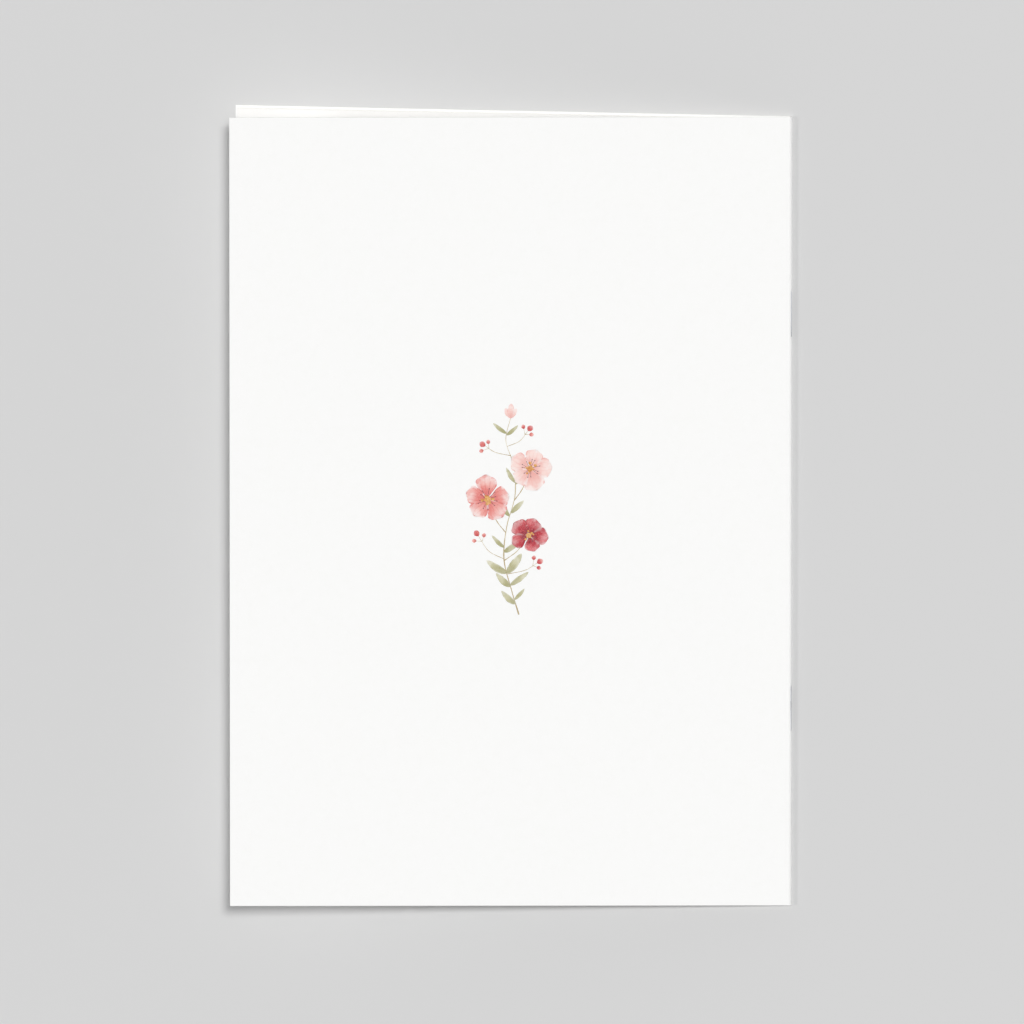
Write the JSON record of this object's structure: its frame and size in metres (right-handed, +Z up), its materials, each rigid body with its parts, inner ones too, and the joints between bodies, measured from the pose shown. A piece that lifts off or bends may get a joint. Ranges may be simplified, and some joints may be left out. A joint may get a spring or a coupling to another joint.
{
  "type": "baptism booklet",
  "caption": "Thin stapled booklet of folded sheets in a white card cover, whose front leaf springs a little open on the fold and carries a small painted flower sprig.",
  "frame": {"origin": "on the surface that the booklet lies on, under the middle of its bounding box", "axes": "+Z up out of the front cover, +Y towards the head of the page, +X towards the fold, so the front cover's free edge is on the -X side"},
  "size_m": [0.1486, 0.21, 0.0236],
  "materials": {
    "cover_card": "matt uncoated white card with a fine tooth",
    "inner_paper": "matt, slightly warmer white paper",
    "staple_wire": "bright drawn wire"
  },
  "bodies": {
    "back": {"back_cover": "cover_card", "inner_pages": "inner_paper", "staple_upper": "staple_wire", "staple_lower": "staple_wire"},
    "front": {"front_cover": "cover_card"}
  },
  "joints": [
    {"name": "cover_hinge", "type": "hinge", "parent": "back", "child": "front", "pos_m": [0.07275, 0, 0.00095], "axis": [0, 1, 0], "range_deg": [-8.5, 171.5]}
  ]
}
